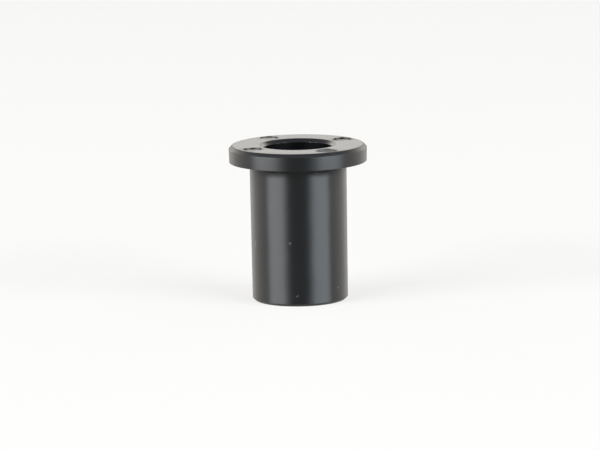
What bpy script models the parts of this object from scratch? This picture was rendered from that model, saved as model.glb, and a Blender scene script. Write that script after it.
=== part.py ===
"""A moulded flanged bushing in black acetal, standing on the free end of its barrel.

Lengths are in metres. The Z axis is the axis of the bore, Z = 0 is the free end of the barrel,
and the flange is on top. The bushing is one moulding, so it is one object.
"""

import math

import bmesh
import bpy

MM = 0.001

# Overall form
LENGTH = 17.83 * MM
FLANGE_THICKNESS = 1.92 * MM
FLANGE_RADIUS = 7.87 * MM
BARREL_ROOT_RADIUS = 5.525 * MM
BARREL_END_RADIUS = 5.455 * MM
BORE_RADIUS = 3.97 * MM

# Draft, so that the moulding leaves the tool
RIM_DRAFT = math.radians(1.0)
BORE_DRAFT = math.radians(0.1)

# Edges
RIM_TOP_ROUNDING = 0.4 * MM
RIM_LOWER_ROUNDING = 0.15 * MM
ROOT_FILLET = 0.2 * MM
BARREL_END_CHAMFER = 0.28 * MM
MOUTH_CHAMFER = 0.37 * MM
EXIT_CHAMFER = 0.25 * MM
ARC_SEGMENTS = 4

# The round recesses in the flange's outer face: ejector pins made three, and the gate is in the
# last. No two pins are set to quite the same height, so each recess has its own depth.
MARK_DEPTHS = (0.18 * MM, 0.13 * MM, 0.16 * MM, 0.16 * MM)
MARK_RADIUS = 1.05 * MM
MARK_CIRCLE_RADIUS = 6.07 * MM
FIRST_MARK_ANGLE = math.radians(32.7)
GATE_MARK = 3

# The stub that the gate leaves stays below the flange's face, and is torn to one side
GATE_STUB_BASE_RADIUS = 0.72 * MM
GATE_STUB_TOP_RADIUS = 0.55 * MM
GATE_STUB_HEIGHT = 0.1 * MM
GATE_STUB_SHIFT = (-0.22 * MM, 0.08 * MM)

# Fineness of the round shapes, and how far a helper reaches past the face that it meets
TURN_STEPS = 96
MARK_SEGMENTS = 24
MERGE_DISTANCE = 0.001 * MM
OVERSHOOT = 0.5 * MM
SINK = 0.1 * MM
SHARP_ANGLE = math.radians(30)


def clear_scene():
    """Remove the objects that are already there."""
    for old in list(bpy.data.objects):
        bpy.data.objects.remove(old, do_unlink=True)


def new_collection(name):
    """A new collection in the scene."""
    collection = bpy.data.collections.new(name)
    bpy.context.scene.collection.children.link(collection)
    return collection


def black_acetal():
    """Satin black acetal, as it comes out of the mould."""
    material = bpy.data.materials.new("black_acetal")
    material.use_nodes = True
    shader = material.node_tree.nodes["Principled BSDF"]
    shader.inputs["Base Color"].default_value = (0.012, 0.0125, 0.014, 1.0)
    shader.inputs["Roughness"].default_value = 0.3
    shader.inputs["Metallic"].default_value = 0.0
    return material


def corner_arc(before, corner, after, rounding):
    """The points of an arc that rounds a corner between its two neighbours."""
    x, z = corner
    back = math.atan2(before[1] - z, before[0] - x)
    ahead = math.atan2(after[1] - z, after[0] - x)
    opening = (ahead - back + math.pi) % (2 * math.pi) - math.pi
    middle = back + opening / 2
    reach = rounding / math.sin(abs(opening) / 2)
    centre_x = x + reach * math.cos(middle)
    centre_z = z + reach * math.sin(middle)
    sweep = math.copysign(math.pi - abs(opening), opening)
    points = []
    for step in range(ARC_SEGMENTS + 1):
        angle = middle + math.pi - (step / ARC_SEGMENTS - 0.5) * sweep
        points.append((
            centre_x + rounding * math.cos(angle),
            centre_z + rounding * math.sin(angle),
        ))
    return points


def section_outline():
    """Half the section, as a closed outline: down the outside from the mouth, then up the bore."""
    underside = LENGTH - FLANGE_THICKNESS
    rim_lower_radius = FLANGE_RADIUS - FLANGE_THICKNESS * math.tan(RIM_DRAFT)
    exit_radius = BORE_RADIUS - LENGTH * math.tan(BORE_DRAFT)
    corners = [
        ((BORE_RADIUS + MOUTH_CHAMFER, LENGTH), 0),
        ((FLANGE_RADIUS, LENGTH), RIM_TOP_ROUNDING),
        ((rim_lower_radius, underside), RIM_LOWER_ROUNDING),
        ((BARREL_ROOT_RADIUS, underside), ROOT_FILLET),
        ((BARREL_END_RADIUS, BARREL_END_CHAMFER), 0),
        ((BARREL_END_RADIUS - BARREL_END_CHAMFER, 0), 0),
        ((exit_radius + EXIT_CHAMFER, 0), 0),
        ((exit_radius, EXIT_CHAMFER), 0),
        ((BORE_RADIUS, LENGTH - MOUTH_CHAMFER), 0),
    ]
    outline = []
    for index, (corner, rounding) in enumerate(corners):
        before = corners[index - 1][0]
        after = corners[(index + 1) % len(corners)][0]
        outline += corner_arc(before, corner, after, rounding) if rounding else [corner]
    return outline


def turned_body(collection):
    """The bushing without its recesses: the section turned about the axis of the bore."""
    outline = section_outline()
    count = len(outline)
    section = bpy.data.meshes.new("section")
    section.from_pydata(
        [(x, 0, z) for x, z in outline],
        [(i, (i + 1) % count) for i in range(count)],
        [],
    )
    body = bpy.data.objects.new("flanged_bushing", section)
    collection.objects.link(body)
    turn = body.modifiers.new("turn", "SCREW")
    turn.axis = "Z"
    turn.angle = 2 * math.pi
    turn.steps = TURN_STEPS
    turn.render_steps = TURN_STEPS
    turn.use_merge_vertices = True
    turn.merge_threshold = MERGE_DISTANCE
    return body


def mark_place(index, shift=(0, 0)):
    """Where the axis of a recess meets the flange's outer face, or a place beside it."""
    angle = FIRST_MARK_ANGLE + index * 2 * math.pi / len(MARK_DEPTHS)
    return (
        MARK_CIRCLE_RADIUS * math.cos(angle) + shift[0],
        MARK_CIRCLE_RADIUS * math.sin(angle) + shift[1],
        LENGTH,
    )


def helper_cone(name, collection, place, bottom, top):
    """A hidden round helper, with its (radius, height) at the bottom and the top from its place."""
    bottom_radius, bottom_height = bottom
    top_radius, top_height = top
    mesh = bpy.data.meshes.new(name)
    cone = bmesh.new()
    bmesh.ops.create_cone(
        cone,
        cap_ends=True,
        segments=MARK_SEGMENTS,
        radius1=bottom_radius,
        radius2=top_radius,
        depth=top_height - bottom_height,
    )
    bmesh.ops.translate(cone, verts=cone.verts, vec=(0, 0, (bottom_height + top_height) / 2))
    cone.to_mesh(mesh)
    cone.free()
    helper = bpy.data.objects.new(name, mesh)
    helper.location = place
    helper.hide_render = True
    helper.display_type = "WIRE"
    collection.objects.link(helper)
    return helper


def cut_recesses(body, cutters):
    """Sink the round recesses into the flange's outer face."""
    for index, depth in enumerate(MARK_DEPTHS):
        helper_cone(
            f"recess_cutter_{index + 1}",
            cutters,
            mark_place(index),
            (MARK_RADIUS, -depth),
            (MARK_RADIUS, OVERSHOOT),
        )
    cut = body.modifiers.new("recesses", "BOOLEAN")
    cut.operation = "DIFFERENCE"
    cut.solver = "EXACT"
    cut.operand_type = "COLLECTION"
    cut.collection = cutters


def add_gate_stub(body, joined):
    """Leave the low stub of the gate standing in its recess."""
    depth = MARK_DEPTHS[GATE_MARK]
    join = body.modifiers.new("gate_stub", "BOOLEAN")
    join.operation = "UNION"
    join.solver = "EXACT"
    join.object = helper_cone(
        "gate_stub",
        joined,
        mark_place(GATE_MARK, GATE_STUB_SHIFT),
        (GATE_STUB_BASE_RADIUS, -depth - SINK),
        (GATE_STUB_TOP_RADIUS, GATE_STUB_HEIGHT - depth),
    )


def apply_modifiers(body):
    """Make the finished shape the object's own mesh, shaded smooth between its sharp edges."""
    graph = bpy.context.evaluated_depsgraph_get()
    mesh = bpy.data.meshes.new_from_object(body.evaluated_get(graph))
    body.modifiers.clear()
    body.data = mesh
    mesh.shade_smooth()
    mesh.set_sharp_from_angle(angle=SHARP_ANGLE)


def main():
    """Build the bushing."""
    clear_scene()
    body = turned_body(new_collection("flanged_bushing"))
    cut_recesses(body, new_collection("cutters"))
    add_gate_stub(body, new_collection("joined_shapes"))
    apply_modifiers(body)
    body.data.materials.clear()
    body.data.materials.append(black_acetal())


main()
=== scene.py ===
"""Looks of a moulded flanged bushing: its fine form, its black acetal, the studio and the camera.

Sizes in the classes are in millimetres and degrees, as a maker writes them, and are turned to
metres and radians where Blender takes them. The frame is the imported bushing's own: Z is the axis
of the bore, Z = 0 is the barrel's free end, and the flange is on top. The photograph's camera
looks from the -Y side.
"""

from __future__ import annotations

import logging
import math
from collections.abc import Mapping, Sequence
from dataclasses import dataclass, field
from enum import Enum

import bpy
from mathutils import Matrix, Vector


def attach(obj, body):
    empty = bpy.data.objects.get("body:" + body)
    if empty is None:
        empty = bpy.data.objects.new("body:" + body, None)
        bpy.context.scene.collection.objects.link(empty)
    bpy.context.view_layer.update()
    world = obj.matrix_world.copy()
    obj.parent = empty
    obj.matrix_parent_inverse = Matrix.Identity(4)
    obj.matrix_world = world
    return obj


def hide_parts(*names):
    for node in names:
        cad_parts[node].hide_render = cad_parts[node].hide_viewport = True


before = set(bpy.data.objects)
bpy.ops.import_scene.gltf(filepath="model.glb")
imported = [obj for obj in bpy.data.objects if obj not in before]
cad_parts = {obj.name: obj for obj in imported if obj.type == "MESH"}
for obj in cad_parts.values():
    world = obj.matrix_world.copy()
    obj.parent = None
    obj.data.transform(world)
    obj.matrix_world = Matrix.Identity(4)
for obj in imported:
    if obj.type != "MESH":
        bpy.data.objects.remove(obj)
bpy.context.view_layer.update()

LOG = logging.getLogger("bushing")
NODE = "flanged_bushing"
BODY = "root"
MM = 0.001
PICTURE_WIDTH = 600

# Nearly all that a noise node gives lies between these two values.
NOISE_RANGE = (0.3, 0.7)

Colour = tuple[float, float, float, float]
Place = tuple[float, float, float]


class Cut(Enum):
    """What a Boolean does with the second shape."""

    TAKE_AWAY = "DIFFERENCE"
    JOIN = "UNION"


class RowOf(Enum):
    """What a row of points holds for each point."""

    NUMBERS = "FLOAT"
    VECTORS = "VECTOR"


class Grain(Enum):
    """Which way the tool marks of the mould run on a turned form, as a turn of the tangent."""

    ALONG_THE_AXIS = 0.0
    ROUND_THE_AXIS = 0.25


def linear(hex_colour: str) -> Colour:
    """Turn an sRGB hex colour into the linear colour that Blender's sockets take.

    Args:
        hex_colour: Six hex digits, such as "1c1d20".

    Returns:
        Red, green, blue and alpha, with alpha 1.
    """
    shares = [int(hex_colour[i:i + 2], 16) / 255 for i in (0, 2, 4)]
    red, green, blue = (s / 12.92 if s <= 0.04045 else ((s + 0.055) / 1.055) ** 2.4 for s in shares)
    return red, green, blue, 1.0


def add_node(
    tree: bpy.types.NodeTree,
    kind: str,
    settings: Mapping[str, object] | None = None,
    inputs: Mapping[str | int, object] | None = None,
) -> bpy.types.Node:
    """Add a node, with its settings and what goes into its sockets.

    Args:
        tree: The tree that gets the node.
        kind: The node's type, such as "ShaderNodeBump".
        settings: The node's own attributes and their values.
        inputs: Socket names or numbers, each with a value, a socket to link, or a list of sockets.

    Returns:
        The new node.
    """
    node = tree.nodes.new(kind)
    for name, value in (settings or {}).items():
        setattr(node, name, value)
    for name, value in (inputs or {}).items():
        for item in value if isinstance(value, list) else [value]:
            if isinstance(item, bpy.types.NodeSocket):
                tree.links.new(item, node.inputs[name])
            else:
                node.inputs[name].default_value = item
    return node


# Finishes


@dataclass(frozen=True)
class Shine:
    """The sockets that say how a surface shines: its roughness, and how far it draws lights out."""

    roughness: bpy.types.NodeSocket
    stretch: bpy.types.NodeSocket

    def smoothed(
        self,
        tree: bpy.types.NodeTree,
        zone: bpy.types.NodeSocket,
        roughness: float | bpy.types.NodeSocket,
    ) -> Shine:
        """Give a zone its own roughness, without tool marks that draw the lights out.

        Args:
            tree: The material's tree.
            zone: A socket that is 1 in the zone and 0 elsewhere.
            roughness: The roughness in the zone.

        Returns:
            The shine of the whole surface.
        """
        blended = add_node(tree, "ShaderNodeMix", {"data_type": "FLOAT"}, {
            "Factor": zone, 2: self.roughness, 3: roughness}).outputs[0]
        stretch = add_node(tree, "ShaderNodeMix", {"data_type": "FLOAT"}, {
            "Factor": zone, 2: self.stretch, 3: 0.0}).outputs[0]
        return Shine(blended, stretch)


@dataclass(frozen=True)
class BlackAcetal:
    """Black acetal, injection-moulded in a turned and blasted cavity."""

    colour: str = "020203"
    cloud_colour: str = "040405"
    blush_colour: str = "343332"
    nick_colour: str = "333231"
    ior: float = 1.43
    roughness: tuple[float, float] = (0.4, 0.45)
    face_roughness: float = 0.24
    recess_roughness: float = 0.28
    edge_roughness: float = 0.38

    # How level a surface lies, from 0 upright to 1 flat: the rim's slanted edge lies within a band
    # round its slant, and the two pairs say where the flat face and the mouth's shoulder blend in.
    edge_slant: float = 45.0
    edge_band: float = 0.2
    face_levels: tuple[float, float] = (0.5, 0.9)
    shoulder_levels: tuple[float, float] = (0.2, 0.6)
    rim_dullness: float = 0.07
    rim_radius: float = 7.4
    pin_roughness: float = 0.2
    shoulder_roughness: float = 0.35
    blush_roughness: float = 0.62
    anisotropy: float = 0.92
    pin_radius: float = 4.35
    grain: Grain = Grain.ROUND_THE_AXIS
    cloud_size: float = 2.5
    ripple_size: float = 3.0
    ripple_height: float = 0.03
    pore_size: float = 0.12
    pore_height: float = 0.0012

    # The recesses lie between these heights, in a ring of this middle radius and half width.
    recess_heights: tuple[float, float] = (17.55, 17.81)
    recess_ring: tuple[float, float] = (6.07, 1.25)
    blush_centre: Place = (3.27, -5.3, 17.7)
    blush_radius: float = 1.35
    blush_softness: float = 0.15

    # Each nick's place and radius, and the share of the radius that is fully pale.
    nick_core: float = 0.3
    nicks: tuple[tuple[Place, float], ...] = (
        ((-1.06, -5.38, 7.3), 0.24),
        ((4.3, -3.37, 1.8), 0.22),
        ((-0.4, -5.44, 1.2), 0.16),
        ((-0.25, -5.45, 1.29), 0.14),
        ((-5.0, -2.26, 7.0), 0.28),
        ((-5.0, -2.25, 6.6), 0.34),
    )

    def material(self) -> bpy.types.Material:
        """Make the material.

        Returns:
            The material, named for what it is and how it is made.
        """
        made = bpy.data.materials.new("black_acetal_moulded_in_a_turned_cavity")
        made.use_nodes = True
        tree = made.node_tree
        shader = tree.nodes["Principled BSDF"]
        coordinates = add_node(tree, "ShaderNodeTexCoord").outputs
        place = coordinates["Object"]

        # Pigment and gloss drift over a few millimetres, so a broad reflection is never quite even.
        cloud = add_node(tree, "ShaderNodeTexNoise", None, {
            "Vector": place, "Scale": 1 / (self.cloud_size * MM), "Detail": 3.0}).outputs["Fac"]
        tint = add_node(tree, "ShaderNodeMix", {"data_type": "RGBA"}, {
            "Factor": cloud, 6: linear(self.colour), 7: linear(self.cloud_colour)}).outputs[2]
        shine = self.shine(tree, place, coordinates["Normal"], cloud)
        tint, roughness = self.marked(tree, place, tint, shine.roughness)
        tangent = add_node(tree, "ShaderNodeTangent", {
            "direction_type": "RADIAL", "axis": "Z"}).outputs[0]

        shader.inputs["IOR"].default_value = self.ior
        shader.inputs["Anisotropic Rotation"].default_value = self.grain.value
        tree.links.new(tint, shader.inputs["Base Color"])
        tree.links.new(roughness, shader.inputs["Roughness"])
        tree.links.new(shine.stretch, shader.inputs["Anisotropic"])
        tree.links.new(tangent, shader.inputs["Tangent"])
        tree.links.new(self.relief(tree, place), shader.inputs["Normal"])
        return made

    def shine(
        self,
        tree: bpy.types.NodeTree,
        place: bpy.types.NodeSocket,
        normal: bpy.types.NodeSocket,
        cloud: bpy.types.NodeSocket,
    ) -> Shine:
        """Work out how each part of the surface shines, from the part of the mould that made it.

        Args:
            tree: The material's tree.
            place: The socket with the surface's place.
            normal: The socket with the way that the surface faces.
            cloud: The slow drift of the gloss.

        Returns:
            The roughness and the stretch of the lights, over the whole surface.
        """
        # The cavity was turned: its marks run round the barrel and draw each light out lengthwise.
        # The flange's face was moulded against a ground plate, so it is smoother and even.
        satin = add_node(tree, "ShaderNodeMapRange", None, {
            "Value": cloud, 1: NOISE_RANGE[0], 2: NOISE_RANGE[1],
            3: self.roughness[0], 4: self.roughness[1]}).outputs[0]
        upward = add_node(tree, "ShaderNodeSeparateXYZ", None, {0: normal}).outputs["Z"]
        level = add_node(tree, "ShaderNodeMath", {"operation": "ABSOLUTE"}, {0: upward}).outputs[0]
        turned = add_node(tree, "ShaderNodeMapRange", None, {
            "Value": level, 1: self.face_levels[0], 2: self.face_levels[1],
            3: 1.0, 4: 0.0}).outputs[0]
        gloss = add_node(tree, "ShaderNodeMix", {"data_type": "FLOAT"}, {
            "Factor": turned, 2: self.face_roughness, 3: satin}).outputs[0]
        stretch = add_node(tree, "ShaderNodeMath", {"operation": "MULTIPLY"}, {
            0: turned, 1: self.anisotropy}).outputs[0]
        shine = Shine(gloss, stretch)

        # The slanted edge of the rim was broken by hand with a stone, so it has no tool marks, and
        # shows as a plain dark line.
        slanted = add_node(tree, "ShaderNodeMath", {"operation": "COMPARE"}, {
            0: level, 1: math.sin(math.radians(self.edge_slant)), 2: self.edge_band}).outputs[0]
        shine = shine.smoothed(tree, slanted, self.edge_roughness)

        # The ejector pins had fine-ground ends, so their recesses are nearly as smooth as the face.
        across = add_node(tree, "ShaderNodeVectorMath", {"operation": "MULTIPLY"}, {
            0: place, 1: (1.0, 1.0, 0.0)}).outputs[0]
        radius = add_node(tree, "ShaderNodeVectorMath", {"operation": "LENGTH"}, {
            0: across}).outputs["Value"]
        in_ring = add_node(tree, "ShaderNodeMath", {"operation": "COMPARE"}, {
            0: radius, 1: self.recess_ring[0] * MM, 2: self.recess_ring[1] * MM}).outputs[0]
        low, high = self.recess_heights
        height = add_node(tree, "ShaderNodeSeparateXYZ", None, {0: place}).outputs["Z"]
        sunk = add_node(tree, "ShaderNodeMath", {"operation": "COMPARE"}, {
            0: height, 1: (low + high) / 2 * MM, 2: (high - low) / 2 * MM}).outputs[0]
        in_recess = add_node(tree, "ShaderNodeMath", {"operation": "MULTIPLY"}, {
            0: in_ring, 1: sunk}).outputs[0]
        shine = shine.smoothed(tree, in_recess, self.recess_roughness)

        # The cavity was blasted a little harder at its rim, so the flange is duller at its edge
        # than the barrel below it.
        on_rim = add_node(tree, "ShaderNodeMath", {"operation": "GREATER_THAN"}, {
            0: radius, 1: self.rim_radius * MM}).outputs[0]
        dulled = add_node(tree, "ShaderNodeMath", {"operation": "MULTIPLY_ADD"}, {
            0: on_rim, 1: self.rim_dullness, 2: shine.roughness}).outputs[0]
        shine = Shine(dulled, shine.stretch)

        # The bore was moulded on a polished core pin, whose shoulder left the dull mouth chamfer.
        on_pin = add_node(tree, "ShaderNodeMath", {"operation": "LESS_THAN"}, {
            0: radius, 1: self.pin_radius * MM}).outputs[0]
        pin_gloss = add_node(tree, "ShaderNodeMapRange", None, {
            "Value": level, 1: self.shoulder_levels[0], 2: self.shoulder_levels[1],
            3: self.pin_roughness, 4: self.shoulder_roughness}).outputs[0]
        return shine.smoothed(tree, on_pin, pin_gloss)

    def marked(
        self,
        tree: bpy.types.NodeTree,
        place: bpy.types.NodeSocket,
        tint: bpy.types.NodeSocket,
        roughness: bpy.types.NodeSocket,
    ) -> tuple[bpy.types.NodeSocket, bpy.types.NodeSocket]:
        """Add the marks that the surface got when the bushing left the mould, and since.

        Args:
            tree: The material's tree.
            place: The socket with the surface's place.
            tint: The colour of the clean surface.
            roughness: The roughness of the clean surface.

        Returns:
            The colour and the roughness, with the marks.
        """
        # The gate was torn off in its recess, and the strained plastic round it is grey and dull.
        border = self.blush_radius * self.blush_softness
        blush = self.spot(
            tree, place, self.blush_centre, self.blush_radius - border, self.blush_radius + border)
        tint = add_node(tree, "ShaderNodeMix", {"data_type": "RGBA"}, {
            "Factor": blush, 6: tint, 7: linear(self.blush_colour)}).outputs[2]
        roughness = add_node(tree, "ShaderNodeMix", {"data_type": "FLOAT"}, {
            "Factor": blush, 2: roughness, 3: self.blush_roughness}).outputs[0]

        # Small nicks show pale, because the dense black skin is gone there.
        for nick_place, nick_radius in self.nicks:
            nick = self.spot(tree, place, nick_place, nick_radius * self.nick_core, nick_radius)
            tint = add_node(tree, "ShaderNodeMix", {"data_type": "RGBA"}, {
                "Factor": nick, 6: tint, 7: linear(self.nick_colour)}).outputs[2]
        return tint, roughness

    def relief(
        self, tree: bpy.types.NodeTree, place: bpy.types.NodeSocket
    ) -> bpy.types.NodeSocket:
        """Make the slow ripple from shrinkage and the fine pores of the blasted cavity.

        Args:
            tree: The material's tree.
            place: The socket with the surface's place.

        Returns:
            The socket with the bent normal.
        """
        ripple = add_node(tree, "ShaderNodeTexNoise", None, {
            "Vector": place, "Scale": 1 / (self.ripple_size * MM), "Detail": 1.0}).outputs["Fac"]
        waved = add_node(tree, "ShaderNodeBump", None, {
            "Height": ripple, "Strength": 1.0, "Distance": self.ripple_height * MM}).outputs[0]

        # The real pores are a tenth of this size: drawn at about a pixel, they only break up the
        # edges of the lights.
        pores = add_node(tree, "ShaderNodeTexNoise", None, {
            "Vector": place, "Scale": 1 / (self.pore_size * MM), "Detail": 2.0}).outputs["Fac"]
        return add_node(tree, "ShaderNodeBump", None, {
            "Height": pores, "Strength": 1.0, "Distance": self.pore_height * MM,
            "Normal": waved}).outputs[0]

    def spot(
        self,
        tree: bpy.types.NodeTree,
        place: bpy.types.NodeSocket,
        centre: Place,
        inner: float,
        outer: float,
    ) -> bpy.types.NodeSocket:
        """Mark a small ball of the surface, with a ragged edge half as deep as its soft border.

        Args:
            tree: The material's tree.
            place: The socket with the surface's place.
            centre: The middle of the ball.
            inner: The radius up to which the mark is full.
            outer: The radius at which it has ended.

        Returns:
            A socket that is 1 inside and 0 outside.
        """
        distance = add_node(tree, "ShaderNodeVectorMath", {"operation": "DISTANCE"}, {
            0: place, 1: Vector(centre) * MM}).outputs["Value"]
        ragged = add_node(tree, "ShaderNodeTexNoise", None, {
            "Vector": place, "Scale": 2 / (outer * MM), "Detail": 2.0}).outputs["Fac"]
        worn = add_node(tree, "ShaderNodeMath", {"operation": "MULTIPLY_ADD"}, {
            0: ragged, 1: (outer - inner) / 2 * MM, 2: distance}).outputs[0]
        return add_node(tree, "ShaderNodeMapRange", {"interpolation_type": "SMOOTHSTEP"}, {
            "Value": worn, 1: inner * MM, 2: outer * MM, 3: 1.0, 4: 0.0}).outputs[0]


@dataclass(frozen=True)
class TornAcetal:
    """Black acetal where the gate was torn off, which strains it pale."""

    colour: str = "222120"
    pale_colour: str = "403e3b"
    ior: float = 1.46
    roughness: float = 0.65
    fibre_size: float = 0.2
    fibre_height: float = 0.03

    def material(self) -> bpy.types.Material:
        """Make the material.

        Returns:
            The material, named for what it is and how it is made.
        """
        made = bpy.data.materials.new("black_acetal_torn_at_the_gate")
        made.use_nodes = True
        tree = made.node_tree
        shader = tree.nodes["Principled BSDF"]
        place = add_node(tree, "ShaderNodeTexCoord").outputs["Object"]

        # Drawn-out fibres catch light from every side, so the stub looks grey beside the black.
        fibres = add_node(tree, "ShaderNodeTexNoise", None, {
            "Vector": place, "Scale": 1 / (self.fibre_size * MM), "Detail": 4.0,
            "Roughness": 0.7}).outputs["Fac"]
        tint = add_node(tree, "ShaderNodeMix", {"data_type": "RGBA"}, {
            "Factor": fibres, 6: linear(self.colour), 7: linear(self.pale_colour)}).outputs[2]
        torn = add_node(tree, "ShaderNodeBump", None, {
            "Height": fibres, "Strength": 1.0, "Distance": self.fibre_height * MM}).outputs[0]
        shader.inputs["IOR"].default_value = self.ior
        shader.inputs["Roughness"].default_value = self.roughness
        tree.links.new(tint, shader.inputs["Base Color"])
        tree.links.new(torn, shader.inputs["Normal"])
        return made


@dataclass(frozen=True)
class MattPaper:
    """The plain white paper of the studio's floor."""

    colour: str = "f3f3f0"
    roughness: float = 0.95
    backdrop_colour: str = "e8e7e5"
    backdrop_share: float = 0.88

    def material(self) -> bpy.types.Material:
        """Make the material.

        Returns:
            The material. The camera and reflections see most of it at an even backdrop colour, and
            the rest as lit paper, which keeps the object's shadow.
        """
        made = bpy.data.materials.new("matt_white_paper")
        made.use_nodes = True
        tree = made.node_tree
        paper = tree.nodes["Principled BSDF"]
        paper.inputs["Base Color"].default_value = linear(self.colour)
        paper.inputs["Roughness"].default_value = self.roughness
        paper.inputs["Specular IOR Level"].default_value = 0.0
        ray = add_node(tree, "ShaderNodeLightPath").outputs
        seen = add_node(tree, "ShaderNodeMath", {"operation": "MAXIMUM"}, {
            0: ray["Is Camera Ray"], 1: ray["Is Glossy Ray"]}).outputs[0]
        seen = add_node(tree, "ShaderNodeMath", {"operation": "MAXIMUM"}, {
            0: seen, 1: ray["Is Transmission Ray"]}).outputs[0]
        share = add_node(tree, "ShaderNodeMath", {"operation": "MULTIPLY"}, {
            0: seen, 1: self.backdrop_share}).outputs[0]
        backdrop = add_node(tree, "ShaderNodeEmission", None, {
            "Color": linear(self.backdrop_colour), "Strength": 1.0}).outputs[0]
        mix = add_node(tree, "ShaderNodeMixShader", None, {
            0: share, 1: paper.outputs[0], 2: backdrop}).outputs[0]
        tree.links.new(mix, tree.nodes["Material Output"].inputs["Surface"])
        return made


# Form


@dataclass(frozen=True)
class Corner:
    """A corner of a section that is turned about the Z axis: its place and how it is rounded."""

    name: str
    radius: float
    height: float
    rounding: float = 0.0


class FormTree:
    """A tree of geometry nodes that makes one mesh, with a named input for each of its sizes."""

    SOCKETS: dict[type, str] = {
        float: "NodeSocketFloat",
        int: "NodeSocketInt",
        bpy.types.Material: "NodeSocketMaterial",
    }
    HUB: float = 1.0
    WELD: float = 0.0005

    def __init__(self, name: str) -> None:
        """Start the tree.

        Args:
            name: The name of the tree and of the mesh that it makes.
        """
        self.name = name
        self.tree = bpy.data.node_groups.new(name, "GeometryNodeTree")
        self.tree.interface.new_socket("Mesh", in_out="OUTPUT", socket_type="NodeSocketGeometry")
        self.entry = self.tree.nodes.new("NodeGroupInput")
        self.values: dict[str, object] = {}

    def size(self, label: str, value: float | int | bpy.types.Material) -> bpy.types.NodeSocket:
        """Add a named input.

        Args:
            label: The input's name.
            value: What it is set to when the tree is evaluated.

        Returns:
            The socket that brings it into the tree.
        """
        socket_type = next(
            name for kind, name in self.SOCKETS.items() if isinstance(value, kind))
        socket = self.tree.interface.new_socket(label, in_out="INPUT", socket_type=socket_type)
        self.values[socket.identifier] = value
        return self.entry.outputs[label]

    def chosen(
        self, row: RowOf, values: Sequence[bpy.types.NodeSocket]
    ) -> bpy.types.NodeSocket:
        """Give each point of a row its own value.

        Args:
            row: What the values are.
            values: A socket for each point, in the row's order.

        Returns:
            The values as one field.
        """
        number = add_node(self.tree, "GeometryNodeInputIndex").outputs[0]
        choice = add_node(self.tree, "GeometryNodeIndexSwitch", {"data_type": row.value}, {
            "Index": number})
        while len(choice.index_switch_items) < len(values):
            choice.index_switch_items.new()
        for index, value in enumerate(values):
            self.tree.links.new(value, choice.inputs[str(index)])
        return choice.outputs[0]

    def turned(
        self,
        corners: Sequence[Corner],
        steps: bpy.types.NodeSocket,
        arc_segments: bpy.types.NodeSocket,
        ring: bool,
    ) -> bpy.types.NodeSocket:
        """Turn a section about the Z axis, with its corners rounded.

        Args:
            corners: The section's corners, going down the outer side.
            steps: The number of steps round the axis.
            arc_segments: The number of points in each rounding.
            ring: Whether the section runs back to its first corner, or else ends on the axis.

        Returns:
            The closed mesh, with its faces outwards.
        """
        tree = self.tree
        places, roundings = [], []
        for corner in corners:
            radius = self.size(f"{corner.name} Radius", corner.radius * MM)
            height = self.size(f"{corner.name} Height", corner.height * MM)
            places.append(add_node(tree, "ShaderNodeCombineXYZ", None, {
                "X": radius, "Y": height}).outputs[0])
            roundings.append(self.size(f"{corner.name} Rounding", corner.rounding * MM))

        # The section is swept along a small hub circle, with its X outwards and its Y downwards.
        hub = self.HUB * MM
        swept = add_node(tree, "ShaderNodeVectorMath", {"operation": "MULTIPLY_ADD"}, {
            0: self.chosen(RowOf.VECTORS, places), 1: (1.0, -1.0, 1.0),
            2: (-hub, 0.0, 0.0)}).outputs[0]
        points = add_node(tree, "GeometryNodePoints", None, {
            "Count": len(corners), "Position": swept}).outputs[0]
        outline = add_node(tree, "GeometryNodePointsToCurves", None, {"Points": points}).outputs[0]
        outline = add_node(tree, "GeometryNodeSetSplineCyclic", None, {
            0: outline, "Cyclic": ring}).outputs[0]
        outline = add_node(tree, "GeometryNodeFilletCurve", {"mode": "POLY"}, {
            "Curve": outline, "Count": arc_segments,
            "Radius": self.chosen(RowOf.NUMBERS, roundings), "Limit Radius": True}).outputs[0]
        circle = add_node(tree, "GeometryNodeCurvePrimitiveCircle", None, {
            "Resolution": steps, "Radius": hub}).outputs["Curve"]
        mesh = add_node(tree, "GeometryNodeCurveToMesh", None, {
            "Curve": circle, "Profile Curve": outline}).outputs[0]
        return add_node(tree, "GeometryNodeMergeByDistance", None, {
            "Geometry": mesh, "Distance": self.WELD * MM}).outputs[0]

    def finished(
        self, mesh: bpy.types.NodeSocket, finish: bpy.types.NodeSocket
    ) -> bpy.types.NodeSocket:
        """Give a shape its finish.

        Args:
            mesh: The shape.
            finish: The socket with its material.

        Returns:
            The shape with the material set.
        """
        return add_node(self.tree, "GeometryNodeSetMaterial", None, {
            "Geometry": mesh, "Material": finish}).outputs[0]

    def joined(
        self, first: bpy.types.NodeSocket, second: bpy.types.NodeSocket, cut: Cut
    ) -> bpy.types.NodeSocket:
        """Join two shapes, or take one out of the other.

        Args:
            first: The shape that stays.
            second: The shape that is joined to it or taken away.
            cut: Which of the two.

        Returns:
            The one closed shape that is left.
        """
        whole = add_node(self.tree, "GeometryNodeRealizeInstances", None, {0: second}).outputs[0]
        if cut is Cut.JOIN:
            inputs = {"Mesh 2": [first, whole]}
        else:
            inputs = {"Mesh 1": first, "Mesh 2": whole}
        return add_node(self.tree, "GeometryNodeMeshBoolean", {
            "operation": cut.value, "solver": "EXACT"}, inputs).outputs[0]

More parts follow.
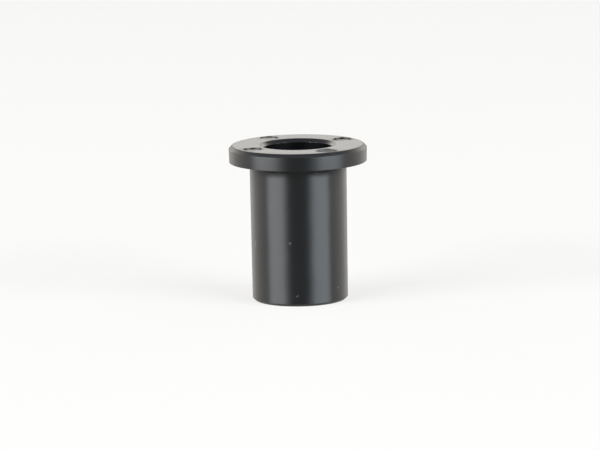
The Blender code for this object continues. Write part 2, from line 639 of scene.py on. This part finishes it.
    def mesh(self, last: bpy.types.NodeSocket) -> bpy.types.Mesh:
        """Evaluate the tree.

        Args:
            last: The socket with the finished shape.

        Returns:
            The shape as a plain mesh.
        """
        whole = add_node(self.tree, "GeometryNodeRealizeInstances", None, {0: last}).outputs[0]
        smooth = add_node(self.tree, "GeometryNodeSetShadeSmooth", None, {
            "Geometry": whole}).outputs[0]
        add_node(self.tree, "NodeGroupOutput", None, {0: smooth})
        carrier = bpy.data.objects.new(self.name, bpy.data.meshes.new(self.name))
        bpy.context.scene.collection.objects.link(carrier)
        modifier = carrier.modifiers.new(self.name, "NODES")
        modifier.node_group = self.tree
        for identifier, value in self.values.items():
            modifier[identifier] = value
        graph = bpy.context.evaluated_depsgraph_get()
        made = bpy.data.meshes.new_from_object(carrier.evaluated_get(graph))
        bpy.data.objects.remove(carrier, do_unlink=True)
        return made


@dataclass
class EjectorRecesses:
    """The round recesses in the flange's face: three from ejector pins, and one with the gate."""

    depths: tuple[float, ...] = (0.135, 0.1, 0.12, 0.12)
    radius: float = 1.1
    circle_radius: float = 6.07
    first_angle: float = 32.7
    lip_rounding: float = 0.05
    floor_rounding: float = 0.06
    flare: float = 0.2
    flare_rise: float = 0.04
    overshoot: float = 0.5
    steps: int = 64

    # Which of the depths is that of the recess with the gate, counted from 0.
    gate: int = 3

    @property
    def cutter_corners(self) -> tuple[Corner, ...]:
        """The section of the deepest cutter, which flares at the face to soften the lip.

        Returns:
            The corners, from the axis above the face to the axis at the floor.
        """
        wide = self.radius + self.flare
        deepest = max(self.depths)
        return (
            Corner("Cutter Pole", 0.0, self.overshoot),
            Corner("Cutter Top", wide, self.overshoot),
            Corner("Cutter Flare", wide, self.flare_rise),
            Corner("Cutter Lip", self.radius, 0.0, self.lip_rounding),
            Corner("Cutter Floor", self.radius, -deepest, self.floor_rounding),
            Corner("Cutter Centre", 0.0, -deepest),
        )


@dataclass
class GateStub:
    """What is left of the gate in its recess: low, torn and a little to one side."""

    base_radius: float = 0.72
    top_radius: float = 0.55
    height: float = 0.07
    sink: float = 0.1
    shift: Place = (-0.22, 0.08, 0.0)
    tear_size: float = 0.3
    tear_height: float = 0.04
    steps: int = 40
    side_segments: int = 3
    top_segments: int = 7


@dataclass
class FlangedBushing:
    """The bushing as it left the mould, in one piece."""

    length: float = 17.83
    flange_thickness: float = 1.92
    flange_radius: float = 7.87
    rim_draft: float = 1.0
    barrel_root_radius: float = 5.525
    barrel_end_radius: float = 5.455
    bore_radius: float = 3.97
    bore_draft: float = 0.1
    rim_chamfer: float = 0.38
    face_edge_rounding: float = 0.3
    rim_edge_rounding: float = 0.1
    rim_lower_rounding: float = 0.04
    root_fillet: float = 0.2
    mouth_chamfer: float = 0.39
    mouth_rounding: float = 0.15
    exit_chamfer: float = 0.25
    barrel_end_chamfer: float = 0.28
    edge_break: float = 0.05
    crisp_edge: float = 0.015
    turn_steps: int = 256
    arc_segments: int = 6
    normal_weight: int = 100
    recesses: EjectorRecesses = field(default_factory=EjectorRecesses)
    stub: GateStub = field(default_factory=GateStub)

    @property
    def corners(self) -> tuple[Corner, ...]:
        """Half the bushing's section.

        Returns:
            The corners, down the outside from the mouth and up the bore.
        """
        underside = self.length - self.flange_thickness
        rim_slope = math.tan(math.radians(self.rim_draft))
        rim_lower_radius = self.flange_radius - self.flange_thickness * rim_slope
        exit_radius = self.bore_radius - self.length * math.tan(math.radians(self.bore_draft))
        mouth_radius = self.bore_radius + self.mouth_chamfer
        face_radius = self.flange_radius - self.rim_chamfer
        rim_height = self.length - self.rim_chamfer
        mouth_floor = self.length - self.mouth_chamfer
        soft = self.edge_break
        return (
            Corner("Mouth", mouth_radius, self.length, self.mouth_rounding),
            Corner("Face Edge", face_radius, self.length, self.face_edge_rounding),
            Corner("Rim Edge", self.flange_radius, rim_height, self.rim_edge_rounding),
            Corner("Rim Bottom", rim_lower_radius, underside, self.rim_lower_rounding),
            Corner("Barrel Root", self.barrel_root_radius, underside, self.root_fillet),
            Corner("Barrel Chamfer", self.barrel_end_radius, self.barrel_end_chamfer, soft),
            Corner("Barrel End", self.barrel_end_radius - self.barrel_end_chamfer, 0.0, soft),
            Corner("Exit", exit_radius + self.exit_chamfer, 0.0, soft),
            Corner("Exit Chamfer", exit_radius, self.exit_chamfer, soft),
            Corner("Mouth Chamfer", self.bore_radius, mouth_floor, self.crisp_edge),
        )

    def torn_stub(self, form: FormTree) -> bpy.types.NodeSocket:
        """Make the torn stub of the gate, measured from the middle of the recess's mouth.

        Args:
            form: The tree that gets it.

        Returns:
            The closed stub, which reaches below the recess's floor.
        """
        tree, stub = form.tree, self.stub
        cone = add_node(tree, "GeometryNodeMeshCone", {"fill_type": "TRIANGLE_FAN"}, {
            "Vertices": form.size("Stub Steps", stub.steps),
            "Side Segments": form.size("Stub Side Segments", stub.side_segments),
            "Fill Segments": form.size("Stub Top Segments", stub.top_segments),
            "Radius Top": form.size("Stub Top Radius", stub.top_radius * MM),
            "Radius Bottom": form.size("Stub Base Radius", stub.base_radius * MM),
            "Depth": form.size("Stub Height", (stub.height + stub.sink) * MM),
        }).outputs["Mesh"]
        tear = add_node(tree, "ShaderNodeTexNoise", None, {
            "Scale": form.size("Tear Fineness", 1 / (stub.tear_size * MM)),
            "Detail": 2.0}).outputs["Fac"]
        half_tear = stub.tear_height / 2 * MM
        lift = add_node(tree, "ShaderNodeMapRange", None, {
            "Value": tear, 1: NOISE_RANGE[0], 2: NOISE_RANGE[1],
            3: -half_tear, 4: half_tear}).outputs[0]
        offset = add_node(tree, "ShaderNodeCombineXYZ", None, {"Z": lift}).outputs[0]
        torn = add_node(tree, "GeometryNodeSetPosition", None, {
            "Geometry": cone, "Offset": offset}).outputs[0]
        drop = Vector((0, 0, -self.recesses.depths[self.recesses.gate] - stub.sink))
        return add_node(tree, "GeometryNodeTransform", None, {
            "Geometry": torn, "Translation": drop * MM}).outputs[0]

    def mesh(self, moulded: bpy.types.Material, torn: bpy.types.Material) -> bpy.types.Mesh:
        """Make the bushing's mesh.

        Args:
            moulded: The finish of every surface that touched the mould.
            torn: The finish of the stub of the gate.

        Returns:
            One closed mesh.
        """
        form = FormTree(NODE)
        tree, recesses = form.tree, self.recesses
        moulded_finish = form.size("Moulded Finish", moulded)
        torn_finish = form.size("Torn Finish", torn)
        arc_segments = form.size("Arc Segments", self.arc_segments)
        turn_steps = form.size("Turn Steps", self.turn_steps)
        body = form.turned(self.corners, turn_steps, arc_segments, ring=True)
        recess_steps = form.size("Recess Steps", recesses.steps)
        cutter = form.turned(recesses.cutter_corners, recess_steps, arc_segments, ring=False)

        # The recesses stand evenly on a circle in the flange's face.
        circle = add_node(tree, "GeometryNodeMeshCircle", None, {
            "Vertices": form.size("Recess Count", len(recesses.depths)),
            "Radius": form.size("Recess Circle Radius", recesses.circle_radius * MM)}).outputs[0]
        turn = add_node(tree, "ShaderNodeCombineXYZ", None, {
            "Z": form.size("First Recess Angle", math.radians(recesses.first_angle))}).outputs[0]
        face = add_node(tree, "ShaderNodeCombineXYZ", None, {
            "Z": form.size("Face Height", self.length * MM)}).outputs[0]
        places = add_node(tree, "GeometryNodeTransform", None, {
            "Geometry": circle, "Translation": face, "Rotation": turn}).outputs[0]
        deepest = max(recesses.depths)
        shares = []
        for recess_number, depth in enumerate(recesses.depths, start=1):
            share = form.size(f"Recess {recess_number} Depth Share", depth / deepest)
            shares.append(add_node(tree, "ShaderNodeCombineXYZ", None, {
                "X": 1.0, "Y": 1.0, "Z": share}).outputs[0])
        cutters = add_node(tree, "GeometryNodeInstanceOnPoints", None, {
            "Points": places, "Instance": form.finished(cutter, moulded_finish),
            "Scale": form.chosen(RowOf.VECTORS, shares)}).outputs[0]
        whole = form.joined(form.finished(body, moulded_finish), cutters, Cut.TAKE_AWAY)

        # The gate's stub stands in one of them.
        number = add_node(tree, "GeometryNodeInputIndex").outputs[0]
        at_gate = add_node(tree, "FunctionNodeCompare", {
            "data_type": "INT", "operation": "EQUAL"}, {
            2: number, 3: form.size("Gate Recess", recesses.gate)}).outputs[0]
        stubs = add_node(tree, "GeometryNodeInstanceOnPoints", None, {
            "Points": places, "Selection": at_gate,
            "Instance": form.finished(self.torn_stub(form), torn_finish)}).outputs[0]
        shifted = add_node(tree, "GeometryNodeTransform", None, {
            "Geometry": stubs, "Translation": Vector(self.stub.shift) * MM}).outputs[0]
        return form.mesh(form.joined(whole, shifted, Cut.JOIN))

    def build(self) -> bpy.types.Object:
        """Make the bushing and tie it to the frame.

        Returns:
            The piece that stands for the CAD model's one node.
        """
        mesh = self.mesh(BlackAcetal().material(), TornAcetal().material())
        piece = bpy.data.objects.new("bushing_moulding", mesh)
        bpy.context.scene.collection.objects.link(piece)
        normals = piece.modifiers.new("normals_by_face_area", "WEIGHTED_NORMAL")
        normals.mode = "FACE_AREA"
        normals.weight = self.normal_weight
        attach(piece, BODY)
        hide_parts(NODE)
        LOG.info("%s: %d faces", piece.name, len(mesh.polygons))
        return piece


# Studio


@dataclass(frozen=True)
class Softbox:
    """A soft light that faces the object, placed by the directions that it covers."""

    name: str
    azimuth: float
    elevation: float
    width: float
    height: float
    radiance: float
    colour: str = "ffffff"
    distance: float = 1.2

    def place(self) -> bpy.types.Object:
        """Put the light in the scene.

        Returns:
            The light. Azimuth is measured from the camera's side to its right.
        """
        data = bpy.data.lights.new(self.name, "AREA")
        data.shape = "RECTANGLE"
        data.size = 2 * self.distance * math.tan(math.radians(self.width / 2))
        data.size_y = 2 * self.distance * math.tan(math.radians(self.height / 2))
        data.energy = self.radiance * math.pi * data.size * data.size_y
        data.color = linear(self.colour)[:3]
        lamp = bpy.data.objects.new(self.name, data)
        bpy.context.scene.collection.objects.link(lamp)
        turn = math.radians(self.azimuth)
        rise = math.radians(self.elevation)
        away = Vector((
            math.sin(turn) * math.cos(rise), -math.cos(turn) * math.cos(rise), math.sin(rise)))
        lamp.location = away * self.distance
        lamp.rotation_euler = (math.radians(90) - rise, 0, turn)
        lamp.visible_camera = False
        return lamp


@dataclass
class Studio:
    """A sheet of white paper under strip lights at both sides, and dim panels round and above.

    Each strip has a faint lower half, a bright upper half, and an end that fades towards the
    camera's side.
    """

    paper: MattPaper = MattPaper()
    paper_side: float = 3.0
    room_colour: str = "505153"
    room_strength: float = 1.0

    # Name, azimuth, elevation, width and height in degrees, radiance, colour.
    softboxes: tuple[Softbox, ...] = (
        Softbox("left_strip_low", -60, 15.5, 39, 7, 26, "fafdff"),
        Softbox("left_strip_high", -60, 23.5, 39, 7, 71, "fafdff"),
        Softbox("left_strip_fade", -35, 20, 11, 12, 26, "fafdff"),
        Softbox("right_strip_low", 57.5, 15.5, 40, 7, 25.5, "eff9ff"),
        Softbox("right_strip_high", 57.5, 23.5, 40, 7, 70, "eff9ff"),
        Softbox("right_strip_fade", 32, 20, 11, 12, 25, "eff9ff"),
        Softbox("left_fill", -120, 15, 70, 30, 3.3, "fffaf2"),
        Softbox("right_fill", 120, 15, 70, 30, 3.3, "fffaf2"),
        Softbox("back_panel", 180, 18, 70, 27, 1.6, "fffcf6"),
        Softbox("top_panel", 0, 90, 100, 70, 0.45, "eef3ff"),
    )

    def build(self) -> None:
        """Lay the paper, hang the lights and light the room."""
        half = self.paper_side / 2
        mesh = bpy.data.meshes.new("floor_paper")
        corners = [(-half, -half, 0), (half, -half, 0), (half, half, 0), (-half, half, 0)]
        mesh.from_pydata(corners, [], [(0, 1, 2, 3)])
        mesh.materials.append(self.paper.material())
        floor = bpy.data.objects.new("floor_paper", mesh)
        bpy.context.scene.collection.objects.link(floor)
        for softbox in self.softboxes:
            softbox.place()
        world = bpy.data.worlds.new("studio_room")
        world.use_nodes = True
        background = world.node_tree.nodes["Background"]
        background.inputs["Color"].default_value = linear(self.room_colour)
        background.inputs["Strength"].default_value = self.room_strength
        bpy.context.scene.world = world
        bpy.context.scene.view_settings.view_transform = "Standard"
        LOG.info("studio: %d lights", len(self.softboxes))


@dataclass(frozen=True)
class PhotoCamera:
    """The photograph's viewpoint, worked out from the outlines of the flange and the barrel."""

    distance: float = 500.0
    elevation: float = 9.85
    roll: float = 1.03
    aim_right: float = 0.1
    aim_height: float = 8.48
    pixels_per_mm: float = 8.758
    sensor: float = 36.0
    clip_ratio: float = 10.0

    def place(self) -> bpy.types.Object:
        """Put the camera in the scene and make it the active one.

        Returns:
            The camera.
        """
        data = bpy.data.cameras.new("photo_camera")
        data.sensor_width = self.sensor
        data.lens = self.pixels_per_mm * self.distance * self.sensor / PICTURE_WIDTH
        data.clip_start = self.distance * MM / self.clip_ratio
        data.clip_end = self.distance * MM * self.clip_ratio
        camera = bpy.data.objects.new("photo_camera", data)
        bpy.context.scene.collection.objects.link(camera)
        tilt = math.radians(self.elevation)
        aim = Vector((self.aim_right, 0, self.aim_height)) * MM
        back = Vector((0, -math.cos(tilt), math.sin(tilt)))
        turn = Matrix.Rotation(math.radians(90) - tilt, 4, "X")
        turn = turn @ Matrix.Rotation(-math.radians(self.roll), 4, "Z")
        camera.matrix_world = Matrix.Translation(aim + back * self.distance * MM) @ turn
        bpy.context.scene.camera = camera
        LOG.info("camera: %.1f mm lens", data.lens)
        return camera


def main() -> None:
    """Build the bushing and the studio, and place the camera."""
    logging.basicConfig(level=logging.INFO, format="%(name)s: %(message)s")
    PhotoCamera().place()
    FlangedBushing().build()
    Studio().build()


if __name__ == "__main__":
    main()
